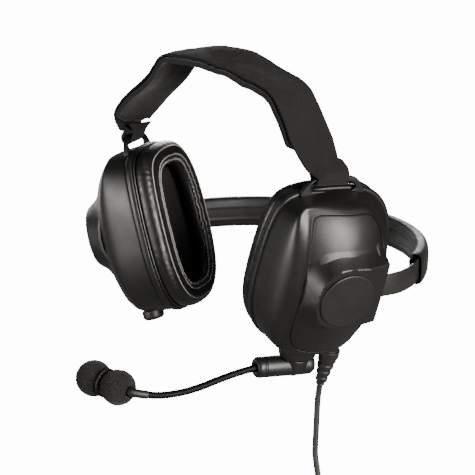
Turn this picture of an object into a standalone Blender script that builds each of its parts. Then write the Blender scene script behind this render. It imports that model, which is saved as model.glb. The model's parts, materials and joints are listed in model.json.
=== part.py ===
"""Two-way-radio headset: two closed ear cups, a spring neckband, a head strap, a boom microphone and a cord.

Origin: under the middle of the head strap, where the crown of the head holds it. +Z is up, the wearer
looks along -Y, and the wearer's left is +X. Metres. Each cup is made in its own frame, which both
cups share as mirror images: +X out of the head, +Y to the rear, +Z up, x = 0 at the ear seal's face.
Lengths written inside mm(...) are millimetres."""

import math

import bmesh
import bpy
from mathutils import Euler, Matrix, Vector

MM = 0.001
GAP = 0.3  # mm, between pieces that touch

# Fit on the head
EAR_DROP = 111.0
EAR_BACK = 21.0
EAR_SPREAD = 51.6
CUP_TOE = -22.4
CUP_SPLAY = 17.8
CUP_PITCH = -2.0

# Ear cup, mm in the cup's frame
CUP_SIDES = 32
OUTLINE_POWER = 2.7
WALL = 2.2
DOME_TOP = 56.8
DOME_CURVE_Y = 0.0130
DOME_CENTRE = (-4.5, -4.0)
# From the rim to the panel groove: x, half width, half height, middle (y, z), superellipse power,
# how far the ring follows the dome across and up the cup, how much its upper rear corner is trimmed
# and its upper front corner filled out
SHELL_RINGS = (
    (17.4, 44.4, 55.2, (0.0, 0.0), 2.7, 0.0, 0.0, 0.03, 1.0),
    (26.0, 42.4, 54.9, (-0.8, 0.2), 2.8, 0.0, 0.12, 0.09, 1.1),
    (34.0, 39.6, 54.4, (-2.4, 0.5), 3.0, 0.0, 0.42, 0.10, 1.3),
    (40.0, 36.3, 53.8, (-4.7, 0.8), 3.2, 0.05, 0.53, 0.10, 1.6),
    (43.6, 34.2, 53.2, (-6.0, 0.9), 3.5, 0.25, 0.63, 0.09, 2.0),
    (45.4, 32.9, 52.3, (-6.2, 1.0), 3.7, 0.50, 0.72, 0.08, 2.4),
    (46.6, 31.3, 51.0, (-5.9, 1.4), 3.8, 0.70, 0.80, 0.07, 2.8),
    (48.1, 26.8, 47.4, (-3.2, 3.0), 4.3, 1.0, 1.0, 0.05, 3.4),
)
GROOVE = 1.7
COVER_THICK = 1.5
COVER_INSET = 0.9
# From the cover's edge to its middle: share of the panel's outline, the rest being a circle of the given radius
COVER_RINGS = ((1.0, 21.2), (0.8, 21.2), (0.6, 21.2), (0.42, 21.2), (0.28, 21.2), (0.14, 21.2), (0.0, 21.2),
               (0.0, 20.2),
               (0.0, 12.0), (0.0, 4.0))
PIVOT_X = 52.0
PIVOT_Y = -3.3
BOSS_MIDDLE = (-4.8, 2.0)
BOSS_RADIUS = 20.4
BOSS_TOP = 61.0
BOSS_FILLET = 7.5
BOSS_ABOVE = 21.8
BOSS_BELOW = 19.8
SEAL_DEPTH = 10.4

# Neckband, mm in the neckband's frame: origin between the pivots
BAND_TILT = 2.6
BAND_RADIUS = 102.5
BAND_CENTRE_Y = 41.9
SLEEVE_HEIGHT = 21.0
SLEEVE_THICK = 9.5
SLEEVE_FROM = 20.0
SPRING_HEIGHT = 14.5
SPRING_THICK = 1.5

# Boom, mm in the left cup's frame
BOOM_X = 29.0
BOOM_Y = -8.0
BARREL_Z = -66.3
BARREL_RADIUS = 6.8
# Gooseneck, mm in the headset's frame
GOOSENECK_REAR = (
    (44.6, -16.4, -181.8), (40.5, -29, -183.5), (36.5, -41, -186), (33.3, -54, -188.5), (30.2, -67, -190),
)
GOOSENECK_FRONT = ((30.2, -67, -190), (26.2, -78, -190.5), (22.6, -84.5, -190.3), (19.5, -89, -189.6))
GOOSENECK_RADIUS = 2.3
BEND_GAP = 1.2  # lets the gooseneck's two halves turn against each other
MIC_NEAR = (2.4, -97.0, -187.4)
MIC_FAR = (-18.1, -97.0, -186.5)

# Head strap, mm in the headset's frame: the webbing's middle line over the crown, right to left
STRAP_ROUTE = (
    (-84.0, -3, -47.5), (-83.0, -2, -39.8), (-73.2, 1, -26.6), (-59.2, 3, -12.4), (-48.6, 3.5, 2.2),
    (-38, 3.5, 5.2),
    (-20, 3.5, 6.4), (-5, 3.5, 5.8), (10, 3.5, 3), (28, 3.5, -2), (43, 3.3, -7.8), (51.5, 3, -15.8),
    (60, 2, -27.8),
    (69, -1, -39), (77, -3, -47.5),
)
WEBBING_NARROW = 21.0
WEBBING_WIDE = 31.0
WEBBING_THICK = 1.5
PAD_THICK = 4.0
HANGER_X = 18.4
HANGER_MIDDLE_Y = -10.4

# Cord, mm in the headset's frame, from the cable relief down to the top of the hank
CORD_DIAMETER = 4.0
CORD_ROUTE = (
    (63.5, 25.6, -197.1), (62.5, 26.0, -202.2), (61.8, 26.3, -208), (61.5, 26.6, -216), (61.5, 26.8, -228),
    (61.6, 26.8, -242), (61.7, 26.8, -256), (61.7, 26.8, -267.7),
)
HANK_TOP = -268.0
HANK_LENGTH = 92.0
HANK_WIDTH = 34.0
HANK_THICK = 12.4
PLUG_RADIUS = 6.0

MATERIALS = {
    "moulded_plastic": ((0.020, 0.020, 0.021), 0.42, 0.0),
    "cap_plastic": ((0.016, 0.016, 0.017), 0.35, 0.0),
    "seal_vinyl": ((0.012, 0.011, 0.011), 0.22, 0.0),
    "foam": ((0.014, 0.012, 0.012), 0.95, 0.0),
    "rubber": ((0.018, 0.018, 0.018), 0.55, 0.0),
    "webbing": ((0.018, 0.018, 0.019), 0.9, 0.0),
    "blackened_steel": ((0.05, 0.05, 0.05), 0.4, 1.0),
    "steel": ((0.6, 0.6, 0.6), 0.3, 1.0),
    "circuit": ((0.02, 0.12, 0.05), 0.5, 0.0),
    "plated_contact": ((0.8, 0.7, 0.45), 0.25, 1.0),
}


def mm(*values):
    return Vector(values) * MM


# ---------------------------------------------------------------- scene

def clear_scene():
    for obj in list(bpy.data.objects):
        bpy.data.objects.remove(obj)


def new_collection(name):
    collection = bpy.data.collections.new(name)
    bpy.context.scene.collection.children.link(collection)
    return collection


def make_materials():
    for name, (colour, roughness, metallic) in MATERIALS.items():
        material = bpy.data.materials.new(name)
        material.use_nodes = True
        shader = material.node_tree.nodes["Principled BSDF"]
        shader.inputs["Base Color"].default_value = (*colour, 1.0)
        shader.inputs["Roughness"].default_value = roughness
        shader.inputs["Metallic"].default_value = metallic


def empty(name, parent=None, location=(0, 0, 0), rotation=(0, 0, 0), scale=(1, 1, 1)):
    obj = bpy.data.objects.new(name, None)
    obj.empty_display_size = 0.01
    parts.objects.link(obj)
    obj.parent = parent
    obj.location = location
    obj.rotation_euler = rotation
    obj.scale = scale
    return obj


def place(data, name, finish, parent, location=(0, 0, 0), rotation=(0, 0, 0)):
    obj = bpy.data.objects.new(name, data)
    parts.objects.link(obj)
    obj.parent = parent
    obj.location = location
    obj.rotation_euler = rotation
    data.materials.append(bpy.data.materials[finish])
    return obj


def mesh_from(bm, name):
    bmesh.ops.recalc_face_normals(bm, faces=bm.faces)
    mesh = bpy.data.meshes.new(name)
    bm.to_mesh(mesh)
    bm.free()
    mesh.shade_smooth()
    mesh.set_sharp_from_angle(angle=math.radians(40))
    return mesh


# ---------------------------------------------------------------- shape makers

def oval(half_width, half_height, power, count=CUP_SIDES, centre=(0, 0), trim=0.0, fill=0.0):
    """Points of a superellipse in a cup's YZ plane, spaced by angle; power 2 is an ellipse.
    trim draws in the upper rear corner by that share, fill makes the upper front corner squarer."""
    points = []
    for step in range(count):
        angle = 2 * math.pi * step / count
        c, s = math.cos(angle), math.sin(angle)
        corner = math.sin(2 * angle) ** 2
        keep = 1 - (trim * corner if angle < math.pi / 2 else 0)
        square = power + (fill * corner if math.pi / 2 < angle < math.pi else 0)
        y = centre[0] + keep * half_width * math.copysign(abs(c) ** (2 / square), c)
        z = centre[1] + keep * half_height * math.copysign(abs(s) ** (2 / square), s)
        points.append((y, z))
    return points


def grid_faces(bm, rows, wrap_rows, wrap_columns):
    """Quads between rows of vertices of equal length."""
    pairs = list(zip(rows, rows[1:])) + ([(rows[-1], rows[0])] if wrap_rows else [])
    for first, second in pairs:
        count = len(first)
        for i in range(count if wrap_columns else count - 1):
            j = (i + 1) % count
            bm.faces.new((first[i], first[j], second[j], second[i]))


def loft(name, rings, finish, parent, closed=False, caps=False):
    """A surface through rings of points in mm. closed joins the last ring to the first, as in a gasket."""
    bm = bmesh.new()
    rows = [[bm.verts.new(mm(*point)) for point in ring] for ring in rings]
    grid_faces(bm, rows, closed, True)
    if caps:
        bm.faces.new(rows[0])
        bm.faces.new(rows[-1])
    return place(mesh_from(bm, name), name, finish, parent)


def gasket(name, stations, finish, parent):
    """A ring-shaped solid: each station is one edge of its section, as x, half width, half height, power, fill."""
    rings = [[(x, y, z) for y, z in oval(a, b, power, fill=fill)] for x, a, b, power, fill in stations]
    return loft(name, rings, finish, parent, closed=True)


def slab(name, stations, finish, parent, centre=(0, 0)):
    """A solid plate across the cup: each station is x, half width, half height, power. Closed at both faces."""
    rings = [[(x, y, z) for y, z in oval(a, b, power, centre=centre)] for x, a, b, power in stations]
    return loft(name, rings, finish, parent, caps=True)


def turned(name, profile, finish, parent, location, rotation, steps=20, ring=False):
    """A lathe piece about local Z: the profile is (radius, height) in mm, down its outer side.
    A ring's profile is a closed outline that stays clear of the axis."""
    bm = bmesh.new()
    verts = [bm.verts.new(mm(radius, 0, height)) for radius, height in profile]
    for first, second in zip(verts, verts[1:] + (verts[:1] if ring else [])):
        bm.edges.new((first, second))
    mesh = bpy.data.meshes.new(name)
    bm.to_mesh(mesh)
    bm.free()
    obj = place(mesh, name, finish, parent, location, rotation)
    screw = obj.modifiers.new("turn", "SCREW")
    screw.steps = screw.render_steps = steps
    screw.use_merge_vertices = True
    screw.merge_threshold = 0.00001
    return obj


def smooth_route(points, spacing):
    """Points in mm about `spacing` apart on a Catmull-Rom curve through the given points."""
    route = [Vector(p) for p in points]
    ends = [2 * route[0] - route[1], *route, 2 * route[-1] - route[-2]]
    found = []
    for a, b, c, d in zip(ends, ends[1:], ends[2:], ends[3:]):
        count = max(1, round((c - b).length / spacing))
        for step in range(count):
            t = step / count
            bend = (2 * a - 5 * b + 4 * c - d) * t**2 + (3 * b - a - 3 * c + d) * t**3
            found.append(0.5 * (2 * b + (c - a) * t + bend))
    return found + [route[-1]]


def tube(name, points, radius, finish, parent, resolution=2):
    """A round bar along points in mm, as a poly spline with a bevel and filled ends."""
    curve = bpy.data.curves.new(name, "CURVE")
    curve.dimensions = "3D"
    curve.bevel_depth = radius * MM
    curve.bevel_resolution = resolution
    curve.use_fill_caps = True
    spline = curve.splines.new("POLY")
    spline.points.add(len(points) - 1)
    for target, point in zip(spline.points, points):
        target.co = (*mm(*point), 1)
    return place(curve, name, finish, parent)


def flat_plate(name, outlines, thickness, finish, parent, location, rotation):
    """A sheet cut to closed outlines in mm, the first its edge and the others holes, in its local XY plane."""
    curve = bpy.data.curves.new(name, "CURVE")
    curve.dimensions = "2D"
    curve.fill_mode = "BOTH"
    curve.extrude = thickness / 2 * MM
    for outline in outlines:
        spline = curve.splines.new("POLY")
        spline.points.add(len(outline) - 1)
        spline.use_cyclic_u = True
        for target, (x, y) in zip(spline.points, outline):
            target.co = (x * MM, y * MM, 0, 1)
    return place(curve, name, finish, parent, location, rotation)


def stadium(half_length, half_width, arc_steps=8, centre=(0, 0)):
    """Outline with two round ends, long along its first coordinate."""
    straight = half_length - half_width
    points = []
    for end, start in ((1, -math.pi / 2), (-1, math.pi / 2)):
        for step in range(arc_steps + 1):
            angle = start + math.pi * step / arc_steps
            x = centre[0] + end * straight + half_width * math.cos(angle)
            points.append((x, centre[1] + half_width * math.sin(angle)))
    return points


def ribbon(name, line, across, width, thickness, finish, parent):
    """A strap or strip: an open sheet swept along a line in mm, thickened about its middle.
    across gives the direction of its width at each point; width is a number or a list."""
    widths = width if isinstance(width, list) else [width] * len(line)
    bm = bmesh.new()
    rows = []
    for point, direction, wide in zip(line, across, widths):
        side = Vector(direction).normalized() * wide / 2
        rows.append([bm.verts.new(mm(*(Vector(point) + side * k))) for k in (-1, 0, 1)])
    grid_faces(bm, rows, False, False)
    obj = place(mesh_from(bm, name), name, finish, parent)
    add_solidify(obj, thickness, 0)
    return obj


def add_solidify(obj, thickness, offset):
    solidify = obj.modifiers.new("wall", "SOLIDIFY")
    solidify.thickness = thickness * MM
    solidify.offset = offset


def cut(obj, cutter, operation="DIFFERENCE"):
    boolean = obj.modifiers.new("cut", "BOOLEAN")
    boolean.operation = operation
    boolean.object = cutter


def as_cutter(obj):
    parts.objects.unlink(obj)
    cutters.objects.link(obj)
    obj.hide_render = True
    obj.display_type = "WIRE"
    return obj


def box_cutter(name, low, high, parent):
    bm = bmesh.new()
    bmesh.ops.create_cube(bm, size=1)
    middle = [(a + b) / 2 for a, b in zip(low, high)]
    size = [b - a for a, b in zip(low, high)]
    for vert in bm.verts:
        vert.co = mm(*(m + s * c for m, s, c in zip(middle, size, vert.co)))
    return as_cutter(place(mesh_from(bm, name), name, "moulded_plastic", parent))


def prism(name, outline, low, high, axis, finish, parent):
    """A solid extruded from an outline: axis x takes (y, z) outlines and axis z takes (x, y) outlines."""
    order = {"x": lambda u, v, w: (w, u, v), "z": lambda u, v, w: (u, v, w)}[axis]
    rings = [[order(u, v, w) for u, v in outline] for w in (low, high)]
    return loft(name, rings, finish, parent, caps=True)


def rod_cutter(name, x, y, radius, low, high, axis, parent):
    outline = [(x + radius * u, y + radius * v) for u, v in oval(1, 1, 2, 24)]
    return as_cutter(prism(name, outline, low, high, axis, "moulded_plastic", parent))


# ---------------------------------------------------------------- ear cups

ALONG_X = (0, math.pi / 2, 0)  # turns a lathe piece's axis to a cup's outward axis
FACING_X = (math.pi / 2, 0, math.pi / 2)  # turns a flat plate's normal to a cup's outward axis


def fall(z):
    """How far the dome drops towards the cup's top and bottom."""
    away = z - DOME_CENTRE[1]
    return 0.0025 * away**2 + 1.1e-6 * away**4 if away > 0 else 0.0052 * away**2


def dome(y, z):
    return DOME_TOP - DOME_CURVE_Y * (y - DOME_CENTRE[0]) ** 2 - fall(z)


def cover_height(y, z):
    """The cover's outer surface: the dome, with the boss round the pivot and its channel to the rear."""
    across, above = y - BOSS_MIDDLE[0], z - BOSS_MIDDLE[1]
    half = BOSS_ABOVE if above > 0 else BOSS_BELOW
    front = max(0.0, -across) / BOSS_RADIUS
    outside = ((front**2.4 + (abs(above) / half) ** 2.4) ** (1 / 2.4) - 1) * half
    share = min(1.0, max(0.0, 1 - outside / BOSS_FILLET)) ** 1.7
    top = BOSS_TOP - 0.28 * max(0.0, y - 6)
    return dome(y, z) * (1 - share) + max(top, dome(y, z)) * share


def shell_rings():
    rings = []
    for x, half_width, half_height, middle, power, swell, drape, trim, fill in SHELL_RINGS:
        ring = []
        for y, z in oval(half_width, half_height, power, centre=middle, trim=trim, fill=fill):
            inside = 25.9**2 - (y - DOME_CENTRE[0]) ** 2
            rise = DOME_CURVE_Y * (inside + math.hypot(inside, 40)) / 2
            ring.append((x + swell * rise - drape * fall(z), y, z))
        rings.append(ring)
    return rings


def make_shell(side, parent):
    shell = loft(f"{side}_shell", shell_rings(), "moulded_plastic", parent)
    add_solidify(shell, WALL, -1)
    cut(shell, box_cutter(f"{side}_channel_cutter", (39.6, 15, -17.2), (60, 45, 20.6), parent))
    cut(shell, box_cutter(f"{side}_hanger_cutter", (15, -30, 49), (20.2, 20, 70), parent))
    return shell


def make_cover(side, parent):
    """A thin dish: its outer face from the middle to the edge, then its inner face back, set in at the edge."""
    _, half_width, half_height, middle, power, _, _, trim, fill = SHELL_RINGS[-1]
    outline = oval(half_width - GROOVE, half_height - GROOVE, power, centre=middle, trim=trim, fill=fill)
    circle = oval(1, 1, 2)
    faces = [(*ring, 1.0, 0.0) for ring in reversed(COVER_RINGS)]
    faces += [(*ring, COVER_INSET, COVER_THICK) for ring in COVER_RINGS]
    rings = []
    for share, radius, inset, depth in faces:
        ring = []
        for (y_edge, z_edge), (y_unit, z_unit) in zip(outline, circle):
            y = inset * (share * y_edge + (1 - share) * (BOSS_MIDDLE[0] + radius * y_unit))
            z = inset * (share * z_edge + (1 - share) * (BOSS_MIDDLE[1] + radius * z_unit))
            ring.append((cover_height(y, z) - depth, y, z))
        rings.append(ring)
    cover = loft(f"{side}_cover", rings, "moulded_plastic", parent, caps=True)
    cut(cover, rod_cutter(f"{side}_cap_cutter", *BOSS_MIDDLE, 15.0, 50, 70, "x", parent))


def make_pivot(side, parent):
    at = mm(0, PIVOT_Y, 0)
    cap = ((0, 62.7), (15.7, 62.7), (17.8, 62.3), (18.4, 61.5), (18.4, 61.3), (14.6, 61.3), (14.6, 58.6),
           (13.2, 58.6), (13.2, 61.0), (0, 61.0))
    turned(f"{side}_pivot_cap", cap, "cap_plastic", parent, mm(0, *BOSS_MIDDLE), ALONG_X, steps=24)
    bush = ((3.4, 54.2), (3.4, 50.2), (7.0, 50.2), (7.0, 39.0), (10.0, 35.5), (1.8, 35.5), (1.8, 54.2))
    turned(f"{side}_pivot_bush", bush, "blackened_steel", parent, at, ALONG_X, steps=16, ring=True)
    screw = ((0, 56.4), (4.4, 56.4), (5.6, 55.6), (5.6, 54.6), (1.4, 54.6), (1.4, 43.0), (0, 43.0))
    turned(f"{side}_pivot_screw", screw, "steel", parent, at, ALONG_X, steps=16)
    plate = ((32.8, 32.0, 44.5, 2.3), (35.2, 31.0, 43.6, 2.3))
    slab(f"{side}_pivot_plate", plate, "moulded_plastic", parent, centre=(-3, 0))


def make_ear_side(side, parent):
    edge = (OUTLINE_POWER, 1.0)
    plain = (OUTLINE_POWER, 0.0)
    inner = (3.2, 0.3)
    seal = ((0.0, 40.2, 50.2, *edge), (1.6, 43.3, 53.2, *edge), (5.5, 45.1, 55.2, *edge),
            (SEAL_DEPTH, 43.6, 53.8, *edge),
            (SEAL_DEPTH, 30.0, 43.5, *inner), (6.0, 24.6, 39.6, *inner), (1.2, 25.4, 40.2, *inner),
            (0.0, 27.4, 42.0, *inner))
    gasket(f"{side}_ear_seal", seal, "seal_vinyl", parent)
    ring = ((10.7, 44.6, 55.4, *edge), (12.0, 44.6, 55.4, *edge), (12.0, 34.0, 47.0, *plain),
            (10.7, 34.0, 47.0, *plain))
    gasket(f"{side}_seal_ring", ring, "moulded_plastic", parent)
    flange = ((12.3, 45.2, 56.0, *edge), (14.2, 45.6, 56.4, *edge), (16.3, 45.1, 55.9, *edge),
              (16.3, 38.4, 49.2, *plain),
              (18.6, 38.4, 49.2, *plain), (18.6, 36.4, 47.2, *plain), (17.5, 36.4, 47.2, *plain),
              (17.5, 17.5, 17.5, 2.0, 0.0),
              (15.0, 17.5, 17.5, 2.0, 0.0), (15.0, 33.0, 46.0, *plain), (12.3, 33.0, 46.0, *plain))
    baffle = gasket(f"{side}_baffle", flange, "moulded_plastic", parent)
    cut(baffle, box_cutter(f"{side}_spigot_cutter", (16.7, -31, 47.6), (25, 21, 60), parent))
    slab(f"{side}_acoustic_foam", ((12.4, 31.0, 44.0, 2.7), (14.7, 31.0, 44.0, 2.7)), "foam", parent)
    driver = ((0, 29.5), (12.0, 29.5), (12.0, 24.0), (16.4, 22.4), (16.4, 19.8), (20.5, 19.8), (20.5, 17.8),
              (0, 17.8))
    turned(f"{side}_speaker", driver, "blackened_steel", parent, (0, 0, 0), ALONG_X)
    clamp = ((23.5, 21.7), (23.5, 17.8), (21.0, 17.8), (21.0, 20.1), (17.2, 20.1), (17.2, 21.7))
    turned(f"{side}_speaker_clamp", clamp, "moulded_plastic", parent, (0, 0, 0), ALONG_X, ring=True)


def make_hanger(side, parent):
    edge = ((-29.0, 52.2), (-27.5, 57), (-24.0, 61.8), (-19.0, 64.4), (4.5, 64.8), (10.0, 62.0),
            (14.0, 57.0), (15.5, 52.0),
            (14.5, 50.2), (-27.0, 50.2))
    slot = ((-22.6, 54.8), (6.0, 54.8), (8.6, 57.0), (6.6, 60.4), (2.8, 61.6), (-21.6, 61.6), (-23.2, 59.4))
    flat_plate(f"{side}_strap_hanger",
               (edge, slot), 2.8, "moulded_plastic", parent, mm(HANGER_X, 0, 0), FACING_X)


def make_cup(side, parent):
    shell = make_shell(side, parent)
    make_cover(side, parent)
    make_pivot(side, parent)
    make_ear_side(side, parent)
    make_hanger(side, parent)
    return shell


# ---------------------------------------------------------------- left cup: boom, board and cable outlet

def make_boom(shell, cup):
    outline = stadium(12.5, 8.5, centre=(-BOOM_Y, BOOM_X))
    block = [(x, -y) for y, x in outline]
    prism("boom_block", block, -50.0, -58.9, "z", "moulded_plastic", cup)
    grown = [(x, -y) for y, x in stadium(12.9, 8.9, centre=(-BOOM_Y, BOOM_X))]
    cut(shell, as_cutter(prism("boom_block_cutter", grown, -45.0, -70.0, "z", "moulded_plastic", cup)))

    pivot = empty("boom_pivot", cup, mm(BOOM_X, BOOM_Y, BARREL_Z))
    rear, front = 13.6, -28.0
    rounded = ((0, rear), (3.4, rear), (5.6, rear - 1.2), (BARREL_RADIUS, rear - 4),
               (BARREL_RADIUS, front + 2.2),
               (BARREL_RADIUS - 0.5, front + 1.0), (BARREL_RADIUS - 1.6, front), (3.0, front),
               (3.0, front + 8), (0, front + 8))
    barrel = turned("boom_barrel", rounded, "moulded_plastic", pivot, (0, 0, 0), (-math.pi / 2, 0, 0))
    boss = as_cutter(prism("barrel_boss", oval(8.3, 8.3, 2, 24), -3.0, 7.1, "z", "moulded_plastic", pivot))
    cut(barrel, boss, "UNION")
    cut(barrel, rod_cutter("barrel_pin_cutter", 0, 0, 2.4, -12, 12, "z", pivot))
    cut(barrel, rod_cutter("barrel_head_cutter", 0, 0, 4.1, -12, -4.3, "z", pivot))
    screw = ((0, 10.8), (1.9, 10.8), (1.9, -4.6), (3.6, -4.6), (3.6, -6.5), (0, -6.5))
    turned("boom_pivot_screw", screw, "steel", cup, mm(BOOM_X, BOOM_Y, BARREL_Z), (0, 0, 0), steps=16)
    pin_cutter = rod_cutter("block_pin_cutter", BOOM_X, BOOM_Y, 2.3, -70, -54.9, "z", cup)
    cut(bpy.data.objects["boom_block"], pin_cutter)
    return pivot


def make_gooseneck(pivot):
    rear = smooth_route(GOOSENECK_REAR, 5.0)
    front = smooth_route(GOOSENECK_FRONT, 5.0)
    bend = front[0].copy()
    turn = (front[1] - bend).normalized()
    rear[-1] = rear[-1] - turn * BEND_GAP
    first = in_frame(pivot)
    tube("gooseneck_rear", [first @ p for p in rear], GOOSENECK_RADIUS, "blackened_steel", pivot)
    joint = empty("gooseneck_pivot", pivot, first @ bend * MM)
    second = in_frame(joint)
    tube("gooseneck_front", [second @ p for p in front], GOOSENECK_RADIUS, "blackened_steel", joint)

    near, far = Vector(MIC_NEAR), Vector(MIC_FAR)
    axis = (far - near).normalized()
    start = front[-1] + (front[-1] - front[-2]).normalized() * GAP
    ends = [start, start + (start - front[-2]) * 0.9, near - axis * 10.5, near - axis * 6.4]
    ferrule = smooth_route(ends, 4.0)
    tube("mic_ferrule", [second @ p for p in ferrule], 2.7, "cap_plastic", joint)
    aim = (second.to_3x3() @ axis).to_track_quat("Z", "Y").to_euler()
    at = second @ near * MM
    capsule = ((0, 19.5), (4.2, 19.5), (5.0, 18.6), (5.0, -5.2), (4.2, -6.0), (0, -6.0))
    turned("mic_capsule", capsule, "blackened_steel", joint, at, aim)
    profile = [(0, 31.8)]
    for centre, radius, first, last in ((20.5, 11.3, 20, 142), (-0.2, 11.0, 38, 155)):
        for step in range(6):
            angle = math.radians(first + (last - first) * step / 5)
            profile.append((radius * math.sin(angle), centre + radius * math.cos(angle)))
    profile += [(4.2, -10.2), (4.2, -8.4), (5.5, -7.0), (5.5, 20.2), (0, 20.2)]
    turned("windscreen", profile, "foam", joint, at, aim, steps=16)
    band = ((8.6, 11.0), (9.3, 10.1), (8.6, 9.2), (7.9, 9.2), (7.9, 11.0))
    turned("windscreen_ring", band, "rubber", joint, at, aim, steps=20, ring=True)


def make_board(cup):
    outline = [(y, z) for z, y in stadium(30, 20, centre=(4, 0))]
    prism("circuit_board", outline, 30.2, 31.8, "x", "circuit", cup)


def make_cable_relief(shell, cup):
    profile = [(0, -49.4), (5.2, -49.4), (5.2, -51.5), (6.8, -51.5), (6.8, -56.5)]
    for index in range(4):
        radius = 6.0 - 0.7 * index
        top = -57.5 - 5.1 * index
        profile += [(radius, top), (radius, top - 2.8), (radius - 1.2, top - 3.2), (radius - 1.2, top - 4.6)]
    profile += [(3.2, -78.3), (0, -78.3)]
    turned("cable_relief", profile, "rubber", cup, mm(35, 11.5, 0), (0, 0, 0), steps=14)
    cut(shell, rod_cutter("relief_cutter", 35, 11.5, 7.2, -85, -47, "z", cup))


def make_port_plug(shell, cup):
    profile = ((0, -49.4), (6.0, -49.4), (6.0, -52.0), (7.2, -52.0), (7.2, -56.8), (6.4, -58.0),
               (5.8, -58.6), (0, -58.6))
    turned("port_plug", profile, "cap_plastic", cup, mm(34, -12, 0), (0, 0, 0))
    cut(shell, rod_cutter("port_cutter", 34, -12, 7.6, -85, -47, "z", cup))


# ---------------------------------------------------------------- neckband

def in_frame(parent):
    """From mm in the headset's frame to mm in an object's frame."""
    bpy.context.view_layer.update()
    inverse = parent.matrix_world.inverted()
    return Matrix.Scale(1 / MM, 4) @ inverse @ Matrix.Scale(MM, 4)


def arc(radius, start, end, count):
    angles = [math.radians(start + (end - start) * i / count) for i in range(count + 1)]
    return [Vector((radius * math.cos(a), BAND_CENTRE_Y + radius * math.sin(a), 0)) for a in angles]


def make_neckband(left_cup, band):
    to_band = in_frame(band)
    cup = cup_matrix(1)
    up_cup = (to_band @ cup).to_3x3() @ Vector((0, 0, 1))
    eye = [to_band @ cup @ Vector(p) for p in ((PIVOT_X, PIVOT_Y - 7.5, 0), (PIVOT_X, PIVOT_Y, 0),
                                               (50.3, 12, 0.2))]
    free = [Vector((101.4, 29.5, 0)), Vector((105.0, 46.5, 0)), Vector((103.0, 63, 0))]
    quarter = smooth_route([*eye, *free, *arc(BAND_RADIUS + 1.2, SLEEVE_FROM - 1, 90, 9)], 8.0)
    line = quarter + [Vector((-p.x, p.y, p.z)) for p in reversed(quarter[:-1])]
    across = []
    for point in line:
        turn = min(1.0, max(0.0, (point.y - 8) / 36)) if abs(point.x) > 80 else 1.0
        lean = up_cup.lerp(Vector((0, 0, 1)), turn)
        across.append(Vector((math.copysign(lean.x, point.x * up_cup.x), lean.y, lean.z)))
    spring = ribbon("band_spring", line, across, SPRING_HEIGHT, SPRING_THICK, "blackened_steel", band)
    for side, parent in cup_empties.items():
        cut(spring, rod_cutter(f"{side}_eye_cutter", PIVOT_Y, 0, 4.7, 44, 60, "x", parent))

    rings = []
    for centre in arc(BAND_RADIUS, SLEEVE_FROM, 180 - SLEEVE_FROM, 18):
        outward = (centre - Vector((0, BAND_CENTRE_Y, 0))).normalized()
        section = oval(SLEEVE_THICK / 2, SLEEVE_HEIGHT / 2, 3.4, 12)
        rings.append([centre + outward * r + Vector((0, 0, z)) for r, z in section])
    sleeve = loft("band_sleeve", rings, "rubber", band)
    add_solidify(sleeve, 1.9, -1)

    beside = (to_band @ cup @ Vector((50.0, 14, 0.2)), *free)
    wire_end = [p.lerp(Vector((0, p.y, p.z)), 2.7 / abs(p.x)) for p in beside]
    half = smooth_route([*wire_end, *arc(BAND_RADIUS - 1.6, SLEEVE_FROM - 1, 90, 9)], 9.0)
    wire = half + [Vector((-p.x, p.y, p.z)) for p in reversed(half[:-1])]
    tube("crossover_wire", wire, 0.8, "rubber", band, resolution=1)


# ---------------------------------------------------------------- head strap

def bar_loop(side):
    """The webbing's way round one hanger's bar, in mm in the headset's frame, from the tail up to the outer run."""
    matrix = cup_matrix(1 if side == "left" else -1)
    section = ((8.5, 65.4), (12.8, 64.4), (15.4, 62.2), (16.8, 60.2), (19.4, 59.7), (21.3, 61.4),
               (21.6, 64.0), (19.8, 67.0),
               (15.4, 69.0))
    return [matrix @ Vector((x, HANGER_MIDDLE_Y, z)) for x, z in section]


def strap_across(point):
    """The strap's width direction: along the hanger's slot at each end, and across the head at the crown."""
    share = min(1.0, abs(point.x) / 80)
    toe = math.radians(-CUP_TOE) * share**2 * math.copysign(1, point.x)
    return Vector((math.sin(toe), math.cos(toe), 0.22 * (1 - share))).normalized()


def strap_width(point):
    """Narrow through the hangers, wider over the head."""
    share = min(1.0, max(0.0, (84 - abs(point.x)) / 24))
    return WEBBING_NARROW + (WEBBING_WIDE - WEBBING_NARROW) * share


def make_strap(parent):
    right, left = bar_loop("right"), bar_loop("left")
    middle = [Vector(p) for p in STRAP_ROUTE]
    line = smooth_route([*right, *middle, *reversed(left)], 5.5)
    across = [strap_across(p) for p in line]
    ribbon("strap_webbing", line, across, [strap_width(p) for p in line], WEBBING_THICK, "webbing", parent)

    over = smooth_route(middle[1:-1], 6.5)
    tangents = [(b - a).normalized() for a, b in zip(over, over[1:])]
    rings = []
    for point, tangent in zip(over, tangents + tangents[-1:]):
        side = strap_across(point)
        inward = tangent.cross(side).normalized()
        inward = inward if inward.z < 0 else -inward
        depth = WEBBING_THICK / 2 + 1.0 + PAD_THICK / 2
        half = strap_width(point) / 2 + 1.5
        section = ((-1, 0.6), (-1, -0.6), (-0.9, -1), (0.9, -1), (1, -0.6), (1, 0.6), (0.9, 1), (-0.9, 1))
        rings.append([point + side * u * half + inward * (depth + v * PAD_THICK / 2) for u, v in section])
    loft("strap_pad", rings, "webbing", parent, caps=True)


# ---------------------------------------------------------------- cord

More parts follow.
